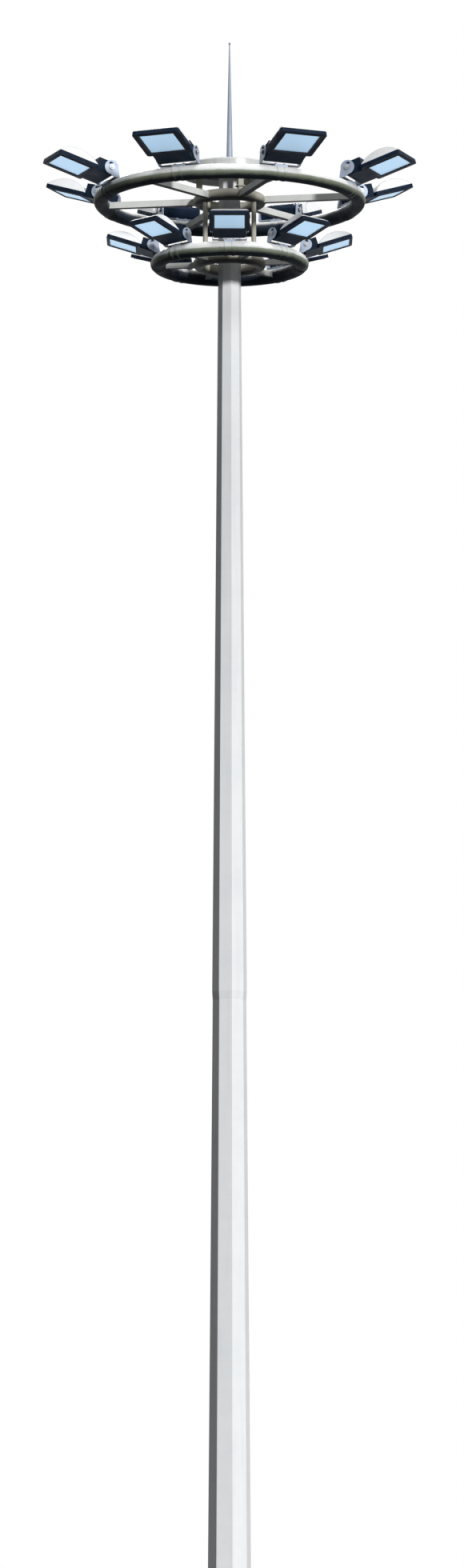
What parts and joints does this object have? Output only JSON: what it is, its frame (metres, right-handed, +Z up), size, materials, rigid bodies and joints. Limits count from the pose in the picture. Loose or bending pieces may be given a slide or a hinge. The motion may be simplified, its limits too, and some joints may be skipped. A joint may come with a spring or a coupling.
{
  "type": "high mast floodlight tower",
  "caption": "Tapered polygonal mast with a raise-and-lower carriage of two pipe rings that carry tilting floodlights, under a hooded head with a lightning spire, on a bolted base flange.",
  "frame": {"origin": "centre of the base flange's underside, on the foundation's top face", "axes": "+Z up along the mast, -Y towards the front"},
  "size_m": [4.101, 4.101, 19.4022],
  "materials": {
    "mast_paint": "semi-gloss",
    "base_steel": "semi-gloss",
    "head_paint": "semi-gloss",
    "spire_metal": "satin",
    "carriage_paint": "semi-gloss",
    "hub_paint": "satin",
    "yoke_steel": "satin",
    "lamp_metal": "satin",
    "lamp_glass": "gloss"
  },
  "bodies": {
    "mast": {"base_flange": "base_steel", "base_gussets": "base_steel", "mast_lower_section": "mast_paint", "mast_upper_section": "mast_paint", "service_door": "mast_paint", "head_frame": "head_paint", "head_hood": "head_paint", "docking_legs": "hub_paint", "spire": "spire_metal"},
    "carriage": {"upper_ring": "carriage_paint", "lower_ring": "carriage_paint", "upper_hub": "hub_paint", "lower_hub": "hub_paint", "upper_spokes": "carriage_paint", "lower_spokes": "carriage_paint", "hub_posts": "hub_paint", "upper_yokes": "yoke_steel", "lower_yokes": "yoke_steel"},
    "upper_lamp_1": {"upper_lamp_1_housing": "lamp_metal", "upper_lamp_1_glass": "lamp_glass"},
    "upper_lamp_2": {"upper_lamp_2_housing": "lamp_metal", "upper_lamp_2_glass": "lamp_glass"},
    "upper_lamp_3": {"upper_lamp_3_housing": "lamp_metal", "upper_lamp_3_glass": "lamp_glass"},
    "upper_lamp_4": {"upper_lamp_4_housing": "lamp_metal", "upper_lamp_4_glass": "lamp_glass"},
    "upper_lamp_5": {"upper_lamp_5_housing": "lamp_metal", "upper_lamp_5_glass": "lamp_glass"},
    "upper_lamp_6": {"upper_lamp_6_housing": "lamp_metal", "upper_lamp_6_glass": "lamp_glass"},
    "upper_lamp_7": {"upper_lamp_7_housing": "lamp_metal", "upper_lamp_7_glass": "lamp_glass"},
    "upper_lamp_8": {"upper_lamp_8_housing": "lamp_metal", "upper_lamp_8_glass": "lamp_glass"},
    "lower_lamp_1": {"lower_lamp_1_housing": "lamp_metal", "lower_lamp_1_glass": "lamp_glass"},
    "lower_lamp_2": {"lower_lamp_2_housing": "lamp_metal", "lower_lamp_2_glass": "lamp_glass"},
    "lower_lamp_3": {"lower_lamp_3_housing": "lamp_metal", "lower_lamp_3_glass": "lamp_glass"},
    "lower_lamp_4": {"lower_lamp_4_housing": "lamp_metal", "lower_lamp_4_glass": "lamp_glass"},
    "lower_lamp_5": {"lower_lamp_5_housing": "lamp_metal", "lower_lamp_5_glass": "lamp_glass"},
    "lower_lamp_6": {"lower_lamp_6_housing": "lamp_metal", "lower_lamp_6_glass": "lamp_glass"},
    "lower_lamp_7": {"lower_lamp_7_housing": "lamp_metal", "lower_lamp_7_glass": "lamp_glass"},
    "lower_lamp_8": {"lower_lamp_8_housing": "lamp_metal", "lower_lamp_8_glass": "lamp_glass"}
  },
  "joints": [
    {"name": "carriage_lift", "type": "slide", "parent": "mast", "child": "carriage", "axis": [0, 0, -1], "range_m": [0, 15]},
    {"name": "upper_lamp_1_tilt", "type": "hinge", "parent": "carriage", "child": "upper_lamp_1", "pos_m": [0.5702, -1.37658, 17.8], "axis": [-0.9239, -0.3827, 0], "range_deg": [-17, 30]},
    {"name": "upper_lamp_2_tilt", "type": "hinge", "parent": "carriage", "child": "upper_lamp_2", "pos_m": [1.37658, -0.5702, 17.8], "axis": [-0.3827, -0.9239, 0], "range_deg": [-17, 30]},
    {"name": "upper_lamp_3_tilt", "type": "hinge", "parent": "carriage", "child": "upper_lamp_3", "pos_m": [1.37658, 0.5702, 17.8], "axis": [0.3827, -0.9239, 0], "range_deg": [-17, 30]},
    {"name": "upper_lamp_4_tilt", "type": "hinge", "parent": "carriage", "child": "upper_lamp_4", "pos_m": [0.5702, 1.37658, 17.8], "axis": [0.9239, -0.3827, 0], "range_deg": [-17, 30]},
    {"name": "upper_lamp_5_tilt", "type": "hinge", "parent": "carriage", "child": "upper_lamp_5", "pos_m": [-0.5702, 1.37658, 17.8], "axis": [0.9239, 0.3827, 0], "range_deg": [-17, 30]},
    {"name": "upper_lamp_6_tilt", "type": "hinge", "parent": "carriage", "child": "upper_lamp_6", "pos_m": [-1.37658, 0.5702, 17.8], "axis": [0.3827, 0.9239, 0], "range_deg": [-17, 30]},
    {"name": "upper_lamp_7_tilt", "type": "hinge", "parent": "carriage", "child": "upper_lamp_7", "pos_m": [-1.37658, -0.5702, 17.8], "axis": [-0.3827, 0.9239, 0], "range_deg": [-17, 30]},
    {"name": "upper_lamp_8_tilt", "type": "hinge", "parent": "carriage", "child": "upper_lamp_8", "pos_m": [-0.5702, -1.37658, 17.8], "axis": [-0.9239, 0.3827, 0], "range_deg": [-17, 30]},
    {"name": "lower_lamp_1_tilt", "type": "hinge", "parent": "carriage", "child": "lower_lamp_1", "pos_m": [0, -0.8433, 17.0702], "axis": [-1, 0, 0], "range_deg": [-17, 30]},
    {"name": "lower_lamp_2_tilt", "type": "hinge", "parent": "carriage", "child": "lower_lamp_2", "pos_m": [0.5963, -0.5963, 17.0702], "axis": [-0.7071, -0.7071, 0], "range_deg": [-17, 30]},
    {"name": "lower_lamp_3_tilt", "type": "hinge", "parent": "carriage", "child": "lower_lamp_3", "pos_m": [0.8433, 0, 17.0702], "axis": [0, -1, 0], "range_deg": [-17, 30]},
    {"name": "lower_lamp_4_tilt", "type": "hinge", "parent": "carriage", "child": "lower_lamp_4", "pos_m": [0.5963, 0.5963, 17.0702], "axis": [0.7071, -0.7071, 0], "range_deg": [-17, 30]},
    {"name": "lower_lamp_5_tilt", "type": "hinge", "parent": "carriage", "child": "lower_lamp_5", "pos_m": [0, 0.8433, 17.0702], "axis": [1, 0, 0], "range_deg": [-17, 30]},
    {"name": "lower_lamp_6_tilt", "type": "hinge", "parent": "carriage", "child": "lower_lamp_6", "pos_m": [-0.5963, 0.5963, 17.0702], "axis": [0.7071, 0.7071, 0], "range_deg": [-17, 30]},
    {"name": "lower_lamp_7_tilt", "type": "hinge", "parent": "carriage", "child": "lower_lamp_7", "pos_m": [-0.8433, 0, 17.0702], "axis": [0, 1, 0], "range_deg": [-17, 30]},
    {"name": "lower_lamp_8_tilt", "type": "hinge", "parent": "carriage", "child": "lower_lamp_8", "pos_m": [-0.5963, -0.5963, 17.0702], "axis": [-0.7071, 0.7071, 0], "range_deg": [-17, 30]}
  ]
}
